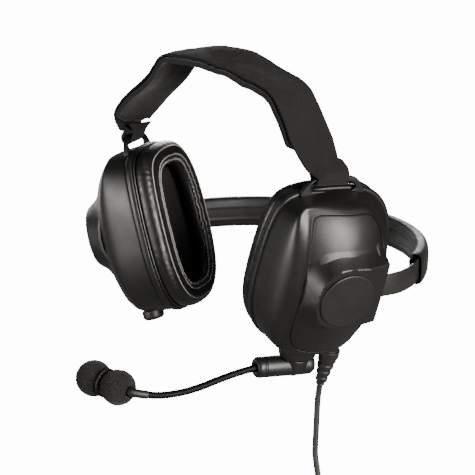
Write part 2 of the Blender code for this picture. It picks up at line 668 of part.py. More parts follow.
def make_cord(parent):
    tube("cord", smooth_route(CORD_ROUTE, 6.0), CORD_DIAMETER / 2, "rubber", parent)
    x, y, _ = CORD_ROUTE[-1]
    middle_z = HANK_TOP - HANK_LENGTH / 2
    outline = [(y + v, middle_z + u) for u, v in stadium(HANK_LENGTH / 2, HANK_WIDTH / 2, centre=(0, 0))]
    prism("cord_hank", outline, x - HANK_THICK / 2, x + HANK_THICK / 2, "x", "rubber", parent)
    half_y, half_x = HANK_WIDTH / 2, HANK_THICK / 2
    tie = loft("hank_tie", [[(x + a, y + b, z) for a, b in (
        (-half_x - d, -half_y - d), (half_x + d, -half_y - d), (half_x + d, half_y + d),
        (-half_x - d, half_y + d))]
        for z, d in ((middle_z + 5, 0.3), (middle_z + 5, 1.3), (middle_z - 5, 1.3), (middle_z - 5, 0.3))],
        "rubber", parent, closed=True)
    tie.data.shade_flat()
    bottom = HANK_TOP - HANK_LENGTH - GAP
    grip = ((0, 0), (2.6, 0), (3.4, -9), (5.4, -11), (PLUG_RADIUS, -14), (PLUG_RADIUS, -34), (5.0, -36),
            (4.2, -38),
            (0, -38))
    turned("plug_grip", grip, "rubber", parent, mm(x, y, bottom), (0, 0, 0), steps=16)
    contact = ((0, 0), (1.75, 0), (1.75, -10.5), (1.2, -11.2), (1.75, -12.6), (0.6, -14.2), (0, -14.2))
    turned("plug_contact", contact, "plated_contact", parent, mm(x, y, bottom - 38 - GAP),
           (0, 0, 0), steps=16)


# ---------------------------------------------------------------- assembly

def cup_euler(sign):
    return Euler([math.radians(a) for a in (CUP_PITCH, CUP_SPLAY * sign, CUP_TOE * sign)])


def cup_matrix(sign):
    """From mm in a cup's frame to mm in the headset's frame."""
    place_at = Matrix.Translation((EAR_SPREAD * sign, EAR_BACK, -EAR_DROP))
    return place_at @ cup_euler(sign).to_matrix().to_4x4() @ Matrix.Diagonal((sign, 1, 1, 1))


clear_scene()
parts = new_collection("radio_headphones")
cutters = new_collection("cutters")
make_materials()
headset = empty("headset")
cup_empties = {}
shells = {}
for cup_side, cup_sign in (("left", 1), ("right", -1)):
    cup_empties[cup_side] = empty(
        f"{cup_side}_cup", headset, mm(EAR_SPREAD * cup_sign, EAR_BACK, -EAR_DROP), cup_euler(cup_sign),
        (cup_sign, 1, 1)
    )
    shells[cup_side] = make_cup(cup_side, cup_empties[cup_side])

boom_pivot = make_boom(shells["left"], cup_empties["left"])
make_gooseneck(boom_pivot)
make_board(cup_empties["left"])
make_cable_relief(shells["left"], cup_empties["left"])
make_port_plug(shells["right"], cup_empties["right"])

pivot_centre = cup_matrix(1) @ Vector((PIVOT_X, PIVOT_Y, 0))
neckband = empty("neckband_pivot", headset, mm(0, pivot_centre.y, pivot_centre.z),
                 (math.radians(BAND_TILT), 0, 0))
make_neckband(cup_empties["left"], neckband)
make_strap(headset)
make_cord(headset)
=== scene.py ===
"""Look of the radio headphones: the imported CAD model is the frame, and all visible surfaces are built here.

The frame's coordinates are used throughout: metres, +Z up, the wearer looks along -Y, the boom is on +X.
Lengths in millimetres are written as such and turned to metres by the cup's matrix or by MM."""

import json
import math

import bmesh
import bpy
import numpy as np
from mathutils import Matrix, Vector, noise


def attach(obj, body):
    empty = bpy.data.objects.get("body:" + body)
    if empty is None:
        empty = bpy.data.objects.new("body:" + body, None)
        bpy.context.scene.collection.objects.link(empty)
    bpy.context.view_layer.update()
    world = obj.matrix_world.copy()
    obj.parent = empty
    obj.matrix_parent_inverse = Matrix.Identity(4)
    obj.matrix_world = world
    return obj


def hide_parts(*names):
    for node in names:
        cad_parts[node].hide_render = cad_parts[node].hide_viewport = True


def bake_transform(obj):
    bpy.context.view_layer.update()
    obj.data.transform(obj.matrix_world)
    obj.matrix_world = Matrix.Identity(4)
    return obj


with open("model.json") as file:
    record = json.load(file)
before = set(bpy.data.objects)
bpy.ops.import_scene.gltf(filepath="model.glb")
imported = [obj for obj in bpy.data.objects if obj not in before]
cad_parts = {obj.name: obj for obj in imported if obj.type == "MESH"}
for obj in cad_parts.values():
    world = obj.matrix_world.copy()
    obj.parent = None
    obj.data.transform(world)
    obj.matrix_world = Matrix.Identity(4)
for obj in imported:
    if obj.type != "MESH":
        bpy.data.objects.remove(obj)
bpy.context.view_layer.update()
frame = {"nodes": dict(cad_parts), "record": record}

MM = 0.001
UP = Vector((0, 0, 1))

# ---------------------------------------------------------------- camera

CAMERA_TURN = 39.61
CAMERA_RISE = 13.75
CAMERA_ROLL = -2.68
CAMERA_DISTANCE = 1.2657
CAMERA_LENS = 148.5
CAMERA_SHIFT = (-0.0172, -0.0045)
LOOK_AT = Vector((0, 0.021, -0.111))


def add_camera():
    turn, rise, roll = (math.radians(a) for a in (CAMERA_TURN, CAMERA_RISE, CAMERA_ROLL))
    back = Vector((math.sin(turn) * math.cos(rise), -math.cos(turn) * math.cos(rise), math.sin(rise)))
    right = Vector((math.cos(turn), math.sin(turn), 0))
    up = back.cross(right)
    right_rolled = right * math.cos(roll) - up * math.sin(roll)
    up_rolled = right * math.sin(roll) + up * math.cos(roll)
    data = bpy.data.cameras.new("camera")
    data.lens = CAMERA_LENS
    data.sensor_width = 36
    data.shift_x, data.shift_y = CAMERA_SHIFT
    data.clip_end = 50
    camera = bpy.data.objects.new("camera", data)
    matrix = Matrix((right_rolled, up_rolled, back)).transposed().to_4x4()
    matrix.translation = LOOK_AT + back * CAMERA_DISTANCE
    camera.matrix_world = matrix
    bpy.context.scene.collection.objects.link(camera)
    bpy.context.scene.camera = camera


# ---------------------------------------------------------------- materials

def new_material(name, colour, roughness, metallic=0.0, sheen=0.0, specular=0.5):
    material = bpy.data.materials.new(name)
    material.use_nodes = True
    shader = material.node_tree.nodes["Principled BSDF"]
    shader.inputs["Base Color"].default_value = (*colour, 1)
    shader.inputs["Roughness"].default_value = roughness
    shader.inputs["Metallic"].default_value = metallic
    shader.inputs["Specular IOR Level"].default_value = specular
    shader.inputs["Sheen Weight"].default_value = sheen
    shader.inputs["Sheen Roughness"].default_value = 0.5
    return material


def node(material, kind, **values):
    made = material.node_tree.nodes.new(kind)
    for key, value in values.items():
        if key in made.inputs:
            made.inputs[key].default_value = value
        else:
            setattr(made, key, value)
    return made


def link(material, source, output, target, socket):
    material.node_tree.links.new(source.outputs[output], target.inputs[socket])


def position(material):
    """Object coordinates: every piece's mesh is in the row frame, in metres."""
    return node(material, "ShaderNodeTexCoord")


def noise_at(material, scale, detail=4.0, rough=0.55):
    texture = node(material, "ShaderNodeTexNoise", Scale=scale, Detail=detail, Roughness=rough)
    link(material, position(material), "Object", texture, "Vector")
    return texture


def vary(material, texture, output, socket, low, high, start=0.35, end=0.65):
    """The texture drives a shader socket between two values, numbers or colours."""
    shader = material.node_tree.nodes["Principled BSDF"]
    ramp = node(material, "ShaderNodeValToRGB")
    ramp.color_ramp.elements[0].position = start
    ramp.color_ramp.elements[1].position = end
    for element, value in zip(ramp.color_ramp.elements, (low, high)):
        element.color = (*value, 1) if isinstance(value, tuple) else (value, value, value, 1)
    link(material, texture, output, ramp, "Fac")
    link(material, ramp, "Color", shader, socket)


def bump(material, textures, distance):
    """Bump from one or several (texture, output, share) heights."""
    shader = material.node_tree.nodes["Principled BSDF"]
    previous = None
    for texture, output, share in textures:
        made = node(material, "ShaderNodeBump", Strength=share, Distance=distance)
        link(material, texture, output, made, "Height")
        if previous:
            link(material, previous, "Normal", made, "Normal")
        previous = made
    link(material, previous, "Normal", shader, "Normal")


def plastic(name, colour, roughness, grain=1.0):
    """Moulded plastic: fine spark-eroded grain, slow changes of gloss, faint handling marks."""
    material = new_material(name, colour, roughness)
    grains = noise_at(material, 5200, 2)
    cloud = noise_at(material, 46, 5, 0.6)
    scuffs = noise_at(material, 420, 6, 0.7)
    vary(material, cloud, "Fac", "Roughness", roughness - 0.04, roughness + 0.05)
    lighter = tuple(min(1, c * 1.5 + 0.0008) for c in colour)
    vary(material, scuffs, "Fac", "Base Color", colour, lighter, 0.45, 0.75)
    bump(material, [(grains, "Fac", 0.3 * grain), (cloud, "Fac", 0.15)], 0.00006)
    return material


def rubber(name, colour, roughness):
    material = new_material(name, colour, roughness, specular=0.4, sheen=0.05)
    dust = noise_at(material, 150, 6, 0.65)
    grain = noise_at(material, 3800, 2)
    lighter = tuple(min(1, c * 1.7 + 0.001) for c in colour)
    vary(material, dust, "Fac", "Base Color", colour, lighter, 0.42, 0.8)
    vary(material, noise_at(material, 60), "Fac", "Roughness", roughness - 0.05, roughness + 0.06)
    bump(material, [(grain, "Fac", 0.3)], 0.00008)
    return material


def vinyl():
    """Thin glossy seal skin over soft foam: pebbled grain and tiny creases."""
    material = new_material("seal_vinyl_look", (0.0055, 0.0051, 0.0048), 0.38, specular=0.45)
    pores = node(material, "ShaderNodeTexVoronoi", Scale=1500)
    link(material, position(material), "Object", pores, "Vector")
    creases = noise_at(material, 230, 7, 0.62)
    vary(material, creases, "Fac", "Roughness", 0.30, 0.48)
    bump(material, [(creases, "Fac", 0.5), (pores, "Distance", 0.25)], 0.00012)
    return material


def webbing(name, colour, fuzz):
    """Woven nylon: fine crossed yarns in the row frame, softened by a nap where it is brushed."""
    material = new_material(name, colour, 0.85, sheen=0.04 + 0.1 * fuzz, specular=0.2)
    heights = []
    for direction in ("X", "Y", "Z"):
        wave = node(material, "ShaderNodeTexWave", Scale=520, Distortion=1.2, bands_direction=direction)
        wave.inputs["Detail"].default_value = 1.0
        link(material, position(material), "Object", wave, "Vector")
        heights.append((wave, "Fac", 0.3 * (1 - 0.6 * fuzz)))
    nap = noise_at(material, 1500, 5, 0.75)
    cloud = noise_at(material, 85, 5, 0.6)
    lighter = tuple(c * 1.9 + 0.002 for c in colour)
    vary(material, nap, "Fac", "Base Color", colour, lighter, 0.38, 0.72)
    heights += [(nap, "Fac", 0.35 + 0.5 * fuzz), (cloud, "Fac", 0.3)]
    bump(material, heights, 0.00025)
    return material


def foam():
    """Reticulated windscreen foam: open cells of about half a millimetre, darkest in their pits as painted shade.
    """
    material = new_material("foam_look", (0.012, 0.011, 0.011), 0.95, sheen=0.08, specular=0.15)
    cells = node(material, "ShaderNodeTexVoronoi", Scale=1250, feature="SMOOTH_F1")
    link(material, position(material), "Object", cells, "Vector")
    coarse = noise_at(material, 330, 4, 0.7)
    # Colour darkest at the cell centres, where the bump is lowest: painted shade in the open pits.
    vary(material, cells, "Distance", "Base Color", (0.002, 0.002, 0.002), (0.022, 0.020, 0.018), 0.1, 0.75)
    bump(material, [(cells, "Distance", 0.9), (coarse, "Fac", 0.5)], 0.0004)
    return material


def metal(name, colour, roughness):
    material = new_material(name, colour, roughness, metallic=1.0)
    streaks = noise_at(material, 900, 4, 0.7)
    vary(material, streaks, "Fac", "Roughness", roughness - 0.07, roughness + 0.1)
    bump(material, [(streaks, "Fac", 0.2)], 0.00003)
    return material


def make_materials():
    look = {
        "moulded_plastic": plastic("moulded_plastic_look", (0.0036, 0.0033, 0.0028), 0.43),
        "cap_plastic": plastic("cap_plastic_look", (0.0034, 0.0031, 0.0028), 0.47, grain=0.6),
        "seal_vinyl": vinyl(),
        "foam": foam(),
        "rubber": rubber("rubber_look", (0.0035, 0.0033, 0.0030), 0.5),
        "webbing": webbing("webbing_look", (0.0052, 0.0047, 0.0043), 0),
        "blackened_steel": metal("blackened_steel_look", (0.014, 0.0136, 0.013), 0.5),
        "steel": metal("steel_look", (0.55, 0.55, 0.54), 0.32),
        "circuit": plastic("circuit_look", (0.010, 0.09, 0.035), 0.4),
        "plated_contact": metal("plated_contact_look", (0.75, 0.62, 0.36), 0.22),
    }
    look["pad"] = webbing("pad_look", (0.0042, 0.0038, 0.0035), 1)
    # Light grey bead colour: a painted highlight standing in for light caught by the black seal's seams.
    look["piping_painted_highlight"] = plastic("piping_look", (0.34, 0.33, 0.31), 0.4, grain=0.3)
    look["cord"] = rubber("cord_look", (0.012, 0.0115, 0.011), 0.58)
    look["strip"] = plastic("strip_look", (0.012, 0.0115, 0.0105), 0.36, grain=0.5)
    return look


# ---------------------------------------------------------------- mesh helpers

def cup_matrix(sign):
    """From millimetres in a cup's frame (+X out, +Y rear, +Z up) to metres in the row frame."""
    turn = [math.radians(a) for a in (-2, 17.8 * sign, -22.4 * sign)]
    rotation = Matrix.Rotation(turn[2], 4, "Z") @ Matrix.Rotation(turn[1], 4, "Y")
    rotation = rotation @ Matrix.Rotation(turn[0], 4, "X")
    place_at = Matrix.Translation(Vector((51.6 * sign, 21, -111)) * MM)
    return place_at @ rotation @ Matrix.Diagonal((sign, 1, 1, 1)) @ Matrix.Scale(MM, 4)


CUPS = {"left": cup_matrix(1), "right": cup_matrix(-1)}
TO_METRES = Matrix.Scale(MM, 4)
shelf = bpy.context.scene.collection


def finish_mesh(bm, name, matrix, finish, body, replaced=(), sharp=35):
    """Places a mesh made in millimetres, in the row frame, with its finish, body and CAD nodes."""
    bm.transform(matrix)
    bmesh.ops.recalc_face_normals(bm, faces=bm.faces)
    mesh = bpy.data.meshes.new(name)
    bm.to_mesh(mesh)
    bm.free()
    mesh.shade_smooth()
    mesh.set_sharp_from_angle(angle=math.radians(sharp))
    obj = bpy.data.objects.new(name, mesh)
    shelf.objects.link(obj)
    mesh.materials.append(looks[finish])
    if body:
        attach(obj, body)
    if replaced:
        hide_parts(*replaced)
    return obj


def grid(bm, rows, wrap_rows=False):
    pairs = list(zip(rows, rows[1:])) + ([(rows[-1], rows[0])] if wrap_rows else [])
    for first, second in pairs:
        count = len(first)
        for i in range(count):
            j = (i + 1) % count
            bm.faces.new((first[i], first[j], second[j], second[i]))


def loft(rings, closed=False, caps=False):
    bm = bmesh.new()
    rows = [[bm.verts.new(p) for p in ring] for ring in rings]
    grid(bm, rows, closed)
    if caps:
        bm.faces.new(rows[0])
        bm.faces.new(rows[-1])
    return bm


def fan_caps(rings):
    """A loft whose two ends close on a middle point, which shades better than a wide flat polygon."""
    bm = bmesh.new()
    rows = [[bm.verts.new(p) for p in ring] for ring in rings]
    grid(bm, rows)
    for row in (rows[0], rows[-1]):
        middle = bm.verts.new(sum((v.co for v in row), Vector()) / len(row))
        for a, b in zip(row, row[1:] + row[:1]):
            bm.faces.new((a, b, middle))
    return bm


def clamped(value):
    return min(1, max(0, value))


def oval(half_width, half_height, power, count, centre=(0, 0), trim=0.0, fill=0.0):
    """A superellipse. trim draws in its upper rear corner by that share, fill squares its upper front one."""
    points = []
    for step in range(count):
        angle = 2 * math.pi * step / count
        c, s = math.cos(angle), math.sin(angle)
        corner = math.sin(2 * angle) ** 2
        keep = 1 - (trim * corner if angle < math.pi / 2 else 0)
        square = power + (fill * corner if math.pi / 2 < angle < math.pi else 0)
        y = centre[0] + keep * half_width * math.copysign(abs(c) ** (2 / square), c)
        z = centre[1] + keep * half_height * math.copysign(abs(s) ** (2 / square), s)
        points.append((y, z))
    return points


def spread(values, count):
    """Rows of numbers, eased between the given rows: count steps per gap (Catmull-Rom)."""
    rows = [np.array(v, float) for v in values]
    ends = [2 * rows[0] - rows[1], *rows, 2 * rows[-1] - rows[-2]]
    found = []
    for a, b, c, d in zip(ends, ends[1:], ends[2:], ends[3:]):
        for step in range(count):
            t = step / count
            bend = (2 * a - 5 * b + 4 * c - d) * t**2 + (3 * b - a - 3 * c + d) * t**3
            found.append(0.5 * (2 * b + (c - a) * t + bend))
    return found + [rows[-1]]


def rounded(profile, radius, steps=3):
    """A 2D outline with its corners rounded: each corner becomes a short curve."""
    points = [Vector(p) for p in profile]
    found = []
    for before, corner, after in zip(points[-1:] + points[:-1], points, points[1:] + points[:1]):
        back, ahead = before - corner, after - corner
        reach = min(radius, 0.45 * back.length, 0.45 * ahead.length)
        start, end = corner + back.normalized() * reach, corner + ahead.normalized() * reach
        for step in range(steps + 1):
            t = step / steps
            found.append(start * (1 - t) ** 2 + corner * 2 * t * (1 - t) + end * t**2)
    return found


def gasket(stations, count=128, radius=0.5):
    """A ring round the cup's axis: stations are (x, half width, half height, power, fill) of its corners."""
    sections = []
    for before, corner, after in zip(stations[-1:] + stations[:-1], stations, stations[1:] + stations[:1]):
        before, corner, after = (np.array(s, float) for s in (before, corner, after))
        back, ahead = before - corner, after - corner
        back_length, ahead_length = np.linalg.norm(back[:3]), np.linalg.norm(ahead[:3])
        reach_back = min(radius, 0.45 * back_length) / max(back_length, 1e-6)
        reach_ahead = min(radius, 0.45 * ahead_length) / max(ahead_length, 1e-6)
        start, end = corner + back * reach_back, corner + ahead * reach_ahead
        for step in range(4):
            t = step / 3
            sections.append(start * (1 - t) ** 2 + corner * 2 * t * (1 - t) + end * t**2)
    return [[(x, y, z) for y, z in oval(a, b, p, count, fill=fill)] for x, a, b, p, fill in sections]


def lathe(profile, count=64, matrix=None):
    """Rings of a turned piece: profile is (radius, height) in mm."""
    matrix = matrix or Matrix.Identity(4)
    rings = []
    for r, h in profile:
        rings.append([matrix @ Vector((r * math.cos(a), r * math.sin(a), h))
                      for a in (2 * math.pi * i / count for i in range(count))])
    return rings


def soften(points, radius, steps=3):
    """An open outline with rounded inner corners, its two ends kept."""
    points = [Vector(p) for p in points]
    found = [points[0]]
    for before, corner, after in zip(points, points[1:], points[2:]):
        back, ahead = before - corner, after - corner
        reach = min(radius, 0.45 * back.length, 0.45 * ahead.length)
        start, end = corner + back.normalized() * reach, corner + ahead.normalized() * reach
        for step in range(steps + 1):
            t = step / steps
            found.append(start * (1 - t) ** 2 + corner * 2 * t * (1 - t) + end * t**2)
    return found + [points[-1]]


def route(points, spacing):
    """Points about `spacing` apart on a smooth curve through the given ones."""
    steps = [Vector(p) for p in points]
    ends = [2 * steps[0] - steps[1], *steps, 2 * steps[-1] - steps[-2]]
    found = []
    for a, b, c, d in zip(ends, ends[1:], ends[2:], ends[3:]):
        count = max(1, round((c - b).length / spacing))
        for step in range(count):
            t = step / count
            bend = (2 * a - 5 * b + 4 * c - d) * t**2 + (3 * b - a - 3 * c + d) * t**3
            found.append(0.5 * (2 * b + (c - a) * t + bend))
    return found + [steps[-1]]


def frames(line):
    """Turn-free frames along a line: (point, side, other side)."""
    tangents = [(b - a).normalized() for a, b in zip(line, line[1:])]
    tangents = [tangents[0]] + [(a + b).normalized() for a,
                                b in zip(tangents, tangents[1:])] + [tangents[-1]]
    side = tangents[0].orthogonal().normalized()
    found = []
    for point, tangent in zip(line, tangents):
        side = (side - tangent * side.dot(tangent)).normalized()
        found.append((point, side, tangent.cross(side)))
    return found


def pipe(line, radius, count=20):
    """A closed tube; radius is a number or a function of (share along, angle)."""
    rings = []
    last = len(line) - 1
    for i, (point, side, other) in enumerate(frames(line)):
        ring = []
        for k in range(count):
            angle = 2 * math.pi * k / count
            r = radius(i / last, angle) if callable(radius) else radius
            ring.append(point + side * r * math.cos(angle) + other * r * math.sin(angle))
        rings.append(ring)
    return fan_caps(rings)


PLATE_BEVEL = 0.45


def outline_plate(name, edges, thickness, matrix, finish, body, replaced):
    """A flat plate with rounded edges from closed outlines in mm: the first is its edge, the others are holes."""
    curve = bpy.data.curves.new(name, "CURVE")
    curve.dimensions = "2D"
    curve.fill_mode = "BOTH"
    curve.extrude = thickness / 2 - PLATE_BEVEL
    curve.bevel_depth = PLATE_BEVEL
    curve.bevel_resolution = 2
    curve.offset = -PLATE_BEVEL
    for edge in edges:
        spline = curve.splines.new("POLY")
        spline.points.add(len(edge) - 1)
        spline.use_cyclic_u = True
        for target, (x, y) in zip(spline.points, edge):
            target.co = (x, y, 0, 1)
    maker = bpy.data.objects.new(name + "_maker", curve)
    shelf.objects.link(maker)
    mesh = bpy.data.meshes.new_from_object(maker.evaluated_get(bpy.context.evaluated_depsgraph_get()))
    bpy.data.objects.remove(maker)
    bm = bmesh.new()
    bm.from_mesh(mesh)
    bmesh.ops.remove_doubles(bm, verts=bm.verts, dist=0.001)
    bpy.data.meshes.remove(mesh)
    return finish_mesh(bm, name, matrix, finish, body, replaced)


# ---------------------------------------------------------------- ear cups, millimetres in the cup's frame

SIDES = 160
PIVOT_Y = -3.3
ALONG_X = Matrix(((0, 0, 1, 0), (0, 1, 0, 0), (-1, 0, 0, 0), (0, 0, 0, 1)))
# From the rim to the panel's groove: x, half width, half height, middle y, middle z, power, swell, fall
# with the dome, trim of the upper rear corner, squareness of the upper front corner
SHELL_RINGS = (
    (17.4, 44.4, 55.2, 0, 0, 2.7, 0, 0, 0.03, 1), (24, 42.3, 54.9, -1, 0.2, 2.8, 0, 0.08, 0.09, 1.1),
    (30, 40.2, 54.6, -2.1, 0.4, 2.9, 0, 0.23, 0.10, 1.2),
    (35, 37.7, 54, -3.5, 0.7, 3, 0.12, 0.326, 0.10, 1.4),
    (38.6, 35.4, 53.3, -4.5, 0.8, 3.2, 0.35, 0.436, 0.09, 1.8),
    (41.6, 33.6, 52.3, -4.6, 1, 3.5, 0.60, 0.574, 0.08, 2.2),
    (43.9, 31.7, 51, -4.5, 1.4, 3.8, 0.80, 0.716, 0.07, 2.7),
    (46, 29.5, 49.4, -3.9, 2, 4, 0.90, 0.847, 0.06, 3.1), (48.1, 26.8, 47.4, -3.2, 3, 4.3, 1, 1, 0.05, 3.4),
)
BOSS_MIDDLE = (-4.8, 2)
BOSS_RADIUS = 20.4
BOSS_TOP = 61.0
BOSS_FILLET = 7.5
BOSS_ABOVE = 21.8
BOSS_BELOW = 19.8
CHANNEL_FLOOR = 39.4
CHANNEL_FROM_Y = 11.5
CHANNEL_HALF = 20.6
CHANNEL_MIDDLE_Z = 1.7


def fall(z):
    """How far the dome drops towards the cup's top and bottom."""
    away = z + 4.0
    return 0.0025 * away**2 + 1.1e-6 * away**4 if away > 0 else 0.0052 * away**2


def dome(y, z):
    return 56.8 - 0.0130 * (y + 4.5) ** 2 - fall(z)


def cover_height(y, z):
    """The panel's outer surface: the dome, with the boss round the pivot and its channel to the rear."""
    across, above = y - BOSS_MIDDLE[0], z - BOSS_MIDDLE[1]
    half = BOSS_ABOVE if above > 0 else BOSS_BELOW
    front = max(0, -across) / BOSS_RADIUS
    outside = ((front**2.4 + (abs(above) / half) ** 2.4) ** (1 / 2.4) - 1) * half
    share = clamped(1 - outside / BOSS_FILLET) ** 1.7
    top = BOSS_TOP - 0.28 * max(0, y - 6)
    return dome(y, z) * (1 - share) + max(top, dome(y, z)) * share


def shell_ring(row, inset=0.0, drop=0.0):
    x, half_width, half_height, middle_y, middle_z, power, swell, drape, trim, fill = row
    ring = []
    for y, z in oval(half_width - inset, half_height - inset, power, SIDES, (middle_y, middle_z), trim,
                     fill):
        inside = 25.9**2 - (y + 4.5) ** 2
        out = x + swell * 0.0065 * (inside + math.hypot(inside, 40)) - drape * fall(z) - drop
        across = abs(z - CHANNEL_MIDDLE_Z)
        if y > CHANNEL_FROM_Y and across < CHANNEL_HALF:
            out -= max(0, out - CHANNEL_FLOOR) * min(1, (CHANNEL_HALF - across) / 1.5,
                                                     (y - CHANNEL_FROM_Y) / 3)
        ring.append((out, y, z))
    return ring


def make_shell(side):
    outer = spread(SHELL_RINGS, 7)
    last = SHELL_RINGS[-1]
    rings = [shell_ring(SHELL_RINGS[0], 0.5, 0), shell_ring(SHELL_RINGS[0], 0.15, -0.15)]
    rings += [shell_ring(row) for row in outer[1:]]
    rings += [shell_ring(last, 0.15, 0.04), shell_ring(last, 0.25, 0.2), shell_ring(last, 0.3, 1.6),
              shell_ring(last, 2.6, 1.8)]
    rings += [shell_ring(row, 2.2) for row in reversed(SHELL_RINGS)]
    finish_mesh(loft(rings, closed=True), f"{side}_shell_skin", CUPS[side], "moulded_plastic", "headset",
                [f"{side}_shell"])


COVER_SIDES = 320


def make_cover(side):
    """The outer panel: from its rolled edge in to a circle round the pivot, then up the boss to the cap."""
    _, half_width, half_height, middle_y, middle_z, power, _, _, trim, fill = SHELL_RINGS[-1]
    edge = oval(half_width - 0.8, half_height - 0.8, power, COVER_SIDES, (middle_y, middle_z), trim, fill)
    angles = [2 * math.pi * i / COVER_SIDES for i in range(COVER_SIDES)]
    circle = [(math.cos(a), math.sin(a)) for a in angles]

    def ring(share, radius, drop=0.0, size=1.0):
        found = []
        for (edge_y, edge_z), (unit_y, unit_z) in zip(edge, circle):
            y = share * edge_y * size + (1 - share) * (BOSS_MIDDLE[0] + radius * unit_y)
            z = share * edge_z * size + (1 - share) * (BOSS_MIDDLE[1] + radius * unit_z)
            found.append((cover_height(y, z) - drop, y, z))
        return found

    rings = [ring(1, 21, 1.6, 0.93), ring(1, 21, 1.6, 1.006), ring(1, 21, 0.3, 1.006),
             ring(1, 21, 0.06, 1.002)]
    rings += [ring(0.985 * (1 - (i / 44) ** 0.95), 21.2) for i in range(45)]
    rings += [ring(0, radius) for radius in (20.8, 20.4, 20, 19.6, 18.8, 18.2)]
    rings += [ring(0, 15.2), ring(0, 15, 0.4), ring(0, 15, 1.5), ring(0, 20, 1.6), ring(0.5, 21, 1.6)]
    finish_mesh(loft(rings, closed=True), f"{side}_cover_panel", CUPS[side], "moulded_plastic", "headset",
                [f"{side}_cover"], sharp=50)


def make_cap(side):
    """The plain round cap, with the thin raised rim that edges it."""
    profile = [(17.2, 62.28), (17.9, 62.22), (18.3, 62), (18.4, 61.7), (18.4, 61.25), (14, 61.25)]
    matrix = CUPS[side] @ Matrix.Translation((0, *BOSS_MIDDLE)) @ ALONG_X
    middle = [(r, 62.30 + 0.06 * math.cos(r / 4)) for r in (3, 6, 9, 12, 14.4, 16.4)]
    finish_mesh(fan_caps(lathe(soften(middle + profile, 0.2), 96)), f"{side}_cap_disc", matrix,
                "cap_plastic", "headset",
                [f"{side}_pivot_cap"])


def make_rim(side):
    flange = [(12.35, 45.2, 56, 2.7, 1.1), (14.2, 45.7, 56.5, 2.7, 1.1), (16.7, 45.3, 56.1, 2.7, 1.1),
              (17.2, 44.2, 55, 2.7, 1.1),
              (17.2, 20, 30, 2.7, 0), (15, 17.5, 17.5, 2, 0), (15, 33, 46, 2.7, 0), (12.35, 33, 46, 2.7, 0)]
    finish_mesh(loft(gasket(flange, SIDES, 0.8), closed=True), f"{side}_rim_flange", CUPS[side],
                "moulded_plastic",
                "headset", [f"{side}_baffle"])
    plate = [(10.7, 44.3, 55.1, 2.7, 1.1), (11.4, 44.9, 55.7, 2.7, 1.1), (12.05, 44.3, 55.1, 2.7, 1.1),
             (12.05, 34, 47, 2.7, 0),
             (10.7, 34, 47, 2.7, 0)]
    finish_mesh(loft(gasket(plate, SIDES, 0.35), closed=True), f"{side}_seal_plate", CUPS[side],
                "moulded_plastic",
                "headset", [f"{side}_seal_ring"])


SEAL_SECTION = (
    # x, half width, half height, power, how much the skin gathers there
    (10.4, 43.4, 53.6, 2.7, 0), (9.4, 44.6, 54.8, 2.7, 0.15), (6.8, 45.2, 55.3, 2.7, 0.25),
    (4, 44.9, 55, 2.7, 0.25), (1.7, 43.4, 53.5, 2.7, 0.3), (0.7, 42, 52.1, 2.7, 0.3),
    (0.4, 41.4, 51.5, 2.72, 0.1), (0.95, 41, 51.1, 2.72, 0), (0.4, 40.5, 50.6, 2.74, 0.1),
    (0, 39.3, 49.7, 2.8, 0.1), (-0.1, 36.6, 47.6, 2.9, 0.1), (0.15, 34.2, 46, 3, 0.3),
    (0.7, 32.9, 45.1, 3.05, 0.6), (0.2, 32, 44.5, 3.1, 1.2), (-0.3, 30.9, 43.7, 3.1, 1.7),
    (0.1, 29.8, 42.9, 3.15, 1.7), (0.9, 28.9, 42.2, 3.2, 1.2), (1.3, 28.3, 41.8, 3.2, 0.6),
    (1, 27.3, 41, 3.2, 1.2), (1.7, 26, 40.3, 3.2, 1.5), (4.2, 24.9, 39.6, 3.2, 1.1),
    (7, 25, 39.9, 3.2, 0.8), (9.2, 26.6, 41.2, 3.2, 0.4), (10.4, 30, 43.5, 3.2, 0),
)
SEAL_SIDES = 420


def make_seal(side):
    """The soft seal: a full vinyl ring, gathered where its skin is sewn round the opening."""
    sections = spread(SEAL_SECTION, 3)
    rings = []
    for x, half_width, half_height, power, gather in sections:
        ring = []
        outline = oval(half_width, half_height, power, SEAL_SIDES, fill=1.0 if half_width > 38 else 0.3)
        for k, (y, z) in enumerate(outline):
            angle = 2 * math.pi * k / SEAL_SIDES
            outward = Vector((0, y, z)).normalized()
            wander = noise.noise(Vector((math.cos(angle), math.sin(angle), 0.15 * x)) * 3.1)
            rough = noise.noise(outward * 9 + Vector((7, 0, 0)))
            pleat = math.sin(76 * angle + 3.0 * wander) * (0.6 + 0.7 * rough)
            swell = noise.noise(outward * 2.6 + Vector((0.12 * x, 0, 3))) * 0.35
            reach = 0.24 * max(0, gather) * pleat + swell * min(1, abs(10.4 - x) / 3)
            point = Vector((x, y, z)) + outward * reach
            point.x -= 0.18 * max(0, gather) * pleat
            ring.append(point)
        rings.append(ring)
    seal = finish_mesh(loft(rings, closed=True), f"{side}_seal_cushion", CUPS[side], "seal_vinyl",
                       "headset",
                       [f"{side}_ear_seal"], sharp=60)


